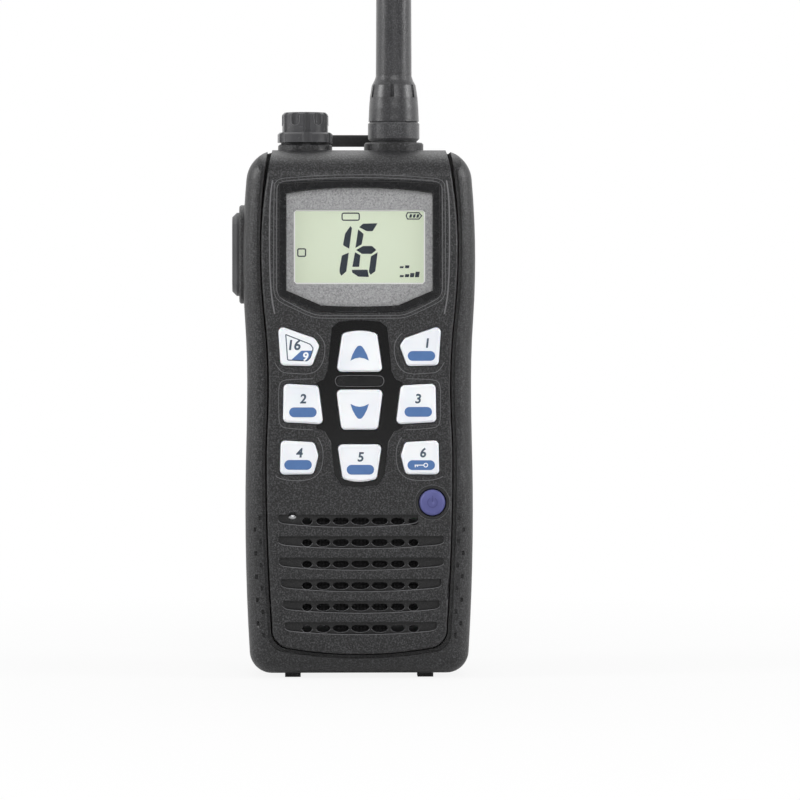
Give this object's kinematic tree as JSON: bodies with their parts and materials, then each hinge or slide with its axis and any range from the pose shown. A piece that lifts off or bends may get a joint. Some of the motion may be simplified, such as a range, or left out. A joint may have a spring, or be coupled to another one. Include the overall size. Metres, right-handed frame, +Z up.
{
  "type": "handheld marine radio",
  "caption": "Waterproof handheld VHF radio with display, rubber keys, slotted grille, side talk pad, screw cap, whip antenna, battery pack and sprung belt clip.",
  "frame": {"origin": "middle of the standing plane under the case, between the front face and the pack's back; the case's flat bottom is 1.2 mm above it, on its feet", "axes": "+Z up, along the antenna; the display, keys and grille face -Y; +X is the right hand side seen from the front, and the talk pad is on -X"},
  "size_m": [0.0651, 0.0508, 0.3125],
  "materials": {
    "case_plastic": "fine grained moulding",
    "cover_plastic": "fine grained moulding",
    "bezel_plastic": "gloss black",
    "window_clear": "clear, hard coated",
    "mask_print": "grey print",
    "lcd_glass": "yellow green display",
    "backlight_plastic": "white diffuser",
    "key_rubber": "pale moulded rubber",
    "power_rubber": "blue violet rubber",
    "soft_rubber": "black rubber",
    "seal_rubber": "black sealing rubber",
    "board_laminate": "green circuit board",
    "chassis_metal": "cast, as made",
    "shield_steel": "tinned sheet",
    "speaker_steel": "black frame and cone",
    "cloth": "black acoustic cloth",
    "contact_metal": "gold plated",
    "socket_metal": "plated",
    "screw_steel": "stainless",
    "spring_steel": "spring wire",
    "whip_rubber": "black moulded rubber",
    "knob_plastic": "black moulding",
    "pack_plastic": "fine grained moulding",
    "cell_wrap": "wrapped cells",
    "clip_plastic": "tough black moulding"
  },
  "bodies": {
    "case": {"rear_case": "case_plastic", "front_cover": "cover_plastic", "main_gasket": "seal_rubber", "display_bezel": "bezel_plastic", "display_window": "window_clear", "window_mask": "mask_print", "lcd_panel": "lcd_glass", "lcd_backlight": "backlight_plastic", "key_bar": "bezel_plastic", "keypad_sheet": "soft_rubber", "power_key_ring": "bezel_plastic", "main_board": "board_laminate", "chassis": "chassis_metal", "radio_board": "board_laminate", "shield_can": "shield_steel", "speaker": "speaker_steel", "speaker_cloth": "cloth", "microphone": "chassis_metal", "microphone_boot": "soft_rubber", "talk_frame": "bezel_plastic", "talk_switch": "knob_plastic", "antenna_socket": "socket_metal", "jack_socket": "socket_metal", "case_screws": "screw_steel", "case_contacts": "contact_metal"},
    "key_down": {"key_down": "key_rubber"},
    "key_low_left": {"key_low_left": "key_rubber"},
    "key_low_middle": {"key_low_middle": "key_rubber"},
    "key_low_right": {"key_low_right": "key_rubber"},
    "key_mid_left": {"key_mid_left": "key_rubber"},
    "key_mid_right": {"key_mid_right": "key_rubber"},
    "key_top_left": {"key_top_left": "key_rubber"},
    "key_top_right": {"key_top_right": "key_rubber"},
    "key_up": {"key_up": "key_rubber"},
    "power_key": {"power_key": "power_rubber"},
    "talk_pad": {"talk_pad": "soft_rubber"},
    "antenna_seal": {"antenna_seal": "seal_rubber"},
    "antenna": {"antenna_collar": "knob_plastic", "antenna_stud": "socket_metal", "antenna_whip": "whip_rubber"},
    "jack_cap_seal": {"jack_cap_seal": "seal_rubber"},
    "jack_cap": {"jack_cap": "knob_plastic"},
    "battery_pack": {"battery_case": "pack_plastic", "battery_lid": "pack_plastic", "battery_contacts": "contact_metal", "battery_cells": "cell_wrap", "battery_board": "board_laminate", "charging_terminals": "contact_metal", "latch_spring": "spring_steel", "clip_plate": "clip_plastic", "clip_pin": "screw_steel", "clip_screws": "screw_steel", "clip_spring": "spring_steel"},
    "battery_latch": {"battery_latch": "pack_plastic"},
    "clip_lever": {"clip_lever": "clip_plastic"}
  },
  "joints": [
    {"name": "key_down_press", "type": "slide", "parent": "case", "child": "key_down", "axis": [0, 1, 0], "range_m": [0, 0.0008], "stiffness_N_per_m": 1000, "springref_m": -0.0008},
    {"name": "key_low_left_press", "type": "slide", "parent": "case", "child": "key_low_left", "axis": [0, 1, 0], "range_m": [0, 0.0008], "stiffness_N_per_m": 1000, "springref_m": -0.0008},
    {"name": "key_low_middle_press", "type": "slide", "parent": "case", "child": "key_low_middle", "axis": [0, 1, 0], "range_m": [0, 0.0008], "stiffness_N_per_m": 1000, "springref_m": -0.0008},
    {"name": "key_low_right_press", "type": "slide", "parent": "case", "child": "key_low_right", "axis": [0, 1, 0], "range_m": [0, 0.0008], "stiffness_N_per_m": 1000, "springref_m": -0.0008},
    {"name": "key_mid_left_press", "type": "slide", "parent": "case", "child": "key_mid_left", "axis": [0, 1, 0], "range_m": [0, 0.0008], "stiffness_N_per_m": 1000, "springref_m": -0.0008},
    {"name": "key_mid_right_press", "type": "slide", "parent": "case", "child": "key_mid_right", "axis": [0, 1, 0], "range_m": [0, 0.0008], "stiffness_N_per_m": 1000, "springref_m": -0.0008},
    {"name": "key_top_left_press", "type": "slide", "parent": "case", "child": "key_top_left", "axis": [0, 1, 0], "range_m": [0, 0.0008], "stiffness_N_per_m": 1000, "springref_m": -0.0008},
    {"name": "key_top_right_press", "type": "slide", "parent": "case", "child": "key_top_right", "axis": [0, 1, 0], "range_m": [0, 0.0008], "stiffness_N_per_m": 1000, "springref_m": -0.0008},
    {"name": "key_up_press", "type": "slide", "parent": "case", "child": "key_up", "axis": [0, 1, 0], "range_m": [0, 0.0008], "stiffness_N_per_m": 1000, "springref_m": -0.0008},
    {"name": "power_key_press", "type": "slide", "parent": "case", "child": "power_key", "axis": [0, 1, 0], "range_m": [0, 0.0008], "stiffness_N_per_m": 1000, "springref_m": -0.0008},
    {"name": "talk_press", "type": "slide", "parent": "case", "child": "talk_pad", "axis": [1, 0, 0], "range_m": [0, 0.001], "stiffness_N_per_m": 1500, "springref_m": -0.001},
    {"name": "antenna_lift", "type": "slide", "parent": "case", "child": "antenna_seal", "axis": [0, 0, 1], "range_m": [0, 0.006]},
    {"name": "antenna_turn", "type": "hinge", "parent": "antenna_seal", "child": "antenna", "pos_m": [0.0095, -0.0036, 0.146], "axis": [0, 0, 1], "range_deg": [0, 2200]},
    {"name": "jack_cap_lift", "type": "slide", "parent": "case", "child": "jack_cap_seal", "axis": [0, 0, 1], "range_m": [0, 0.003]},
    {"name": "jack_cap_turn", "type": "hinge", "parent": "jack_cap_seal", "child": "jack_cap", "pos_m": [-0.0144, -0.0036, 0.147], "axis": [0, 0, 1], "range_deg": [0, 1100]},
    {"name": "pack_off", "type": "slide", "parent": "case", "child": "battery_pack", "axis": [0, 1, 0], "range_m": [0, 0.03]},
    {"name": "latch_slide", "type": "slide", "parent": "battery_pack", "child": "battery_latch", "axis": [0, 0, 1], "range_m": [0, 0.003], "stiffness_N_per_m": 300, "springref_m": -0.002},
    {"name": "clip_open", "type": "hinge", "parent": "battery_pack", "child": "clip_lever", "pos_m": [0, 0.0256, 0.128], "axis": [1, 0, 0], "range_deg": [0, 18], "stiffness_Nm_per_rad": 0.8, "springref_deg": -11.46}
  ],
  "couplings": [
    {"joint": "antenna_turn", "follows": "antenna_lift", "rad_per_m": 6283.2},
    {"joint": "jack_cap_turn", "follows": "jack_cap_lift", "rad_per_m": 6283.2}
  ]
}
